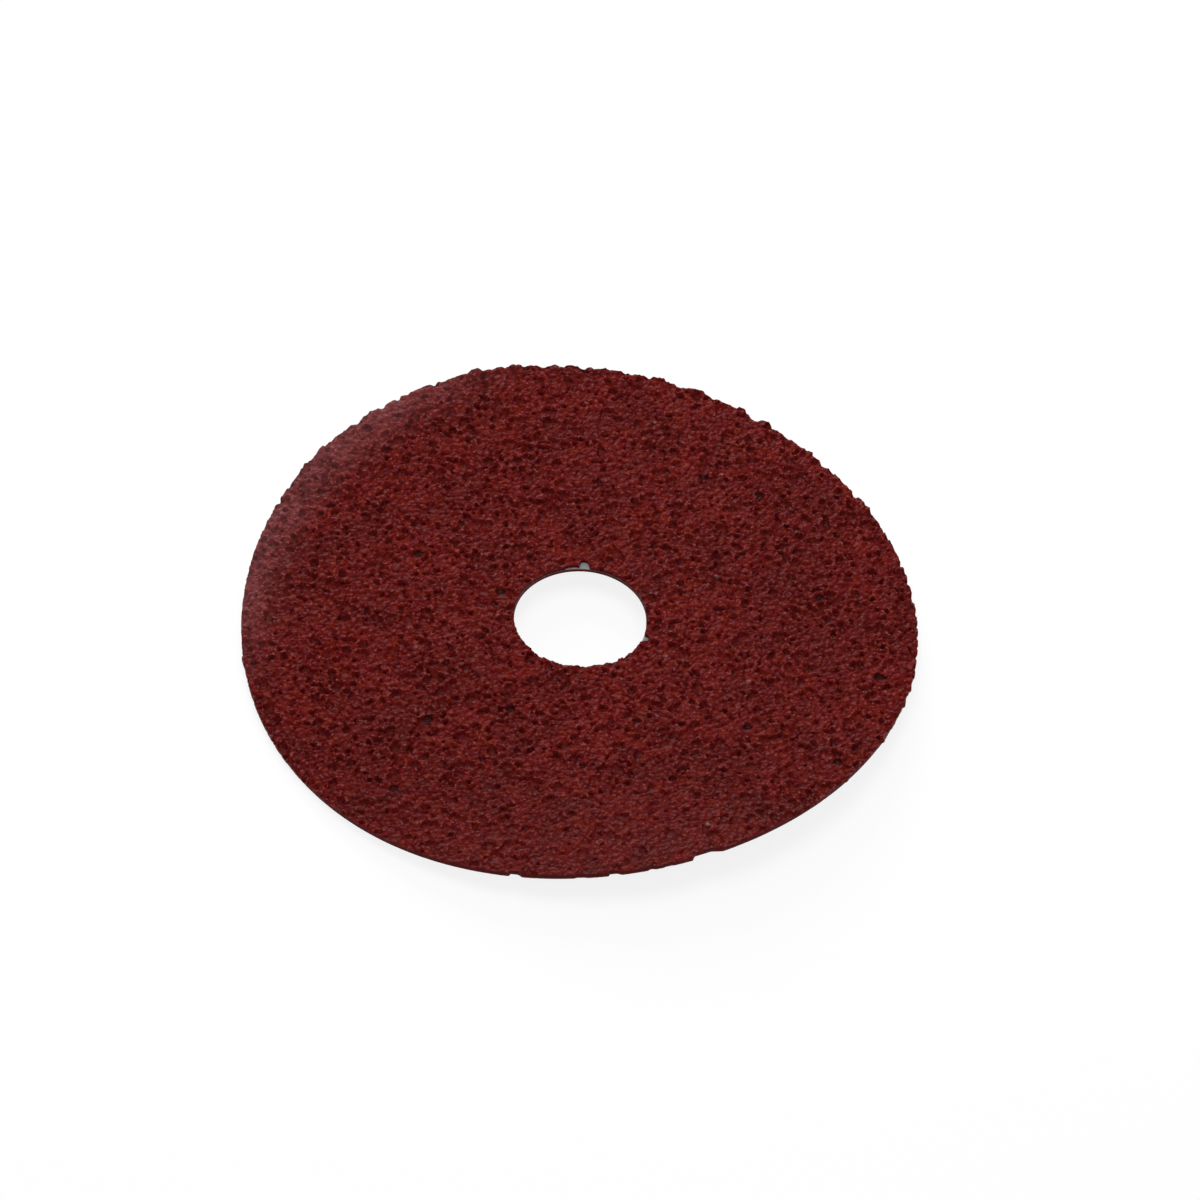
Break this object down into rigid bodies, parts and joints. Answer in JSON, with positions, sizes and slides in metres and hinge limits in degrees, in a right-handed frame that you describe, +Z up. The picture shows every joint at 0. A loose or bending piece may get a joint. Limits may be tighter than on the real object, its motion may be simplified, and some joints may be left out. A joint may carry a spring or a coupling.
{
  "type": "fibre sanding disc",
  "caption": "Round coarse abrasive disc for an angle grinder: red-brown grit bonded to a grey vulcanised fibre sheet, with a central bore, curled like a worn shop disc.",
  "frame": {"origin": "on the floor that the curled disc lies on, under the middle of its bore", "axes": "+Z up along the bore's axis, out of the grit side; +X to the right and +Y away in the picture"},
  "size_m": [0.115, 0.115, 0.0077],
  "materials": {
    "vulcanised_fibre": "matte",
    "abrasive_grit": "matte"
  },
  "bodies": {
    "root": {"fibre_backing": "vulcanised_fibre", "abrasive_coat": "abrasive_grit"}
  },
  "joints": []
}
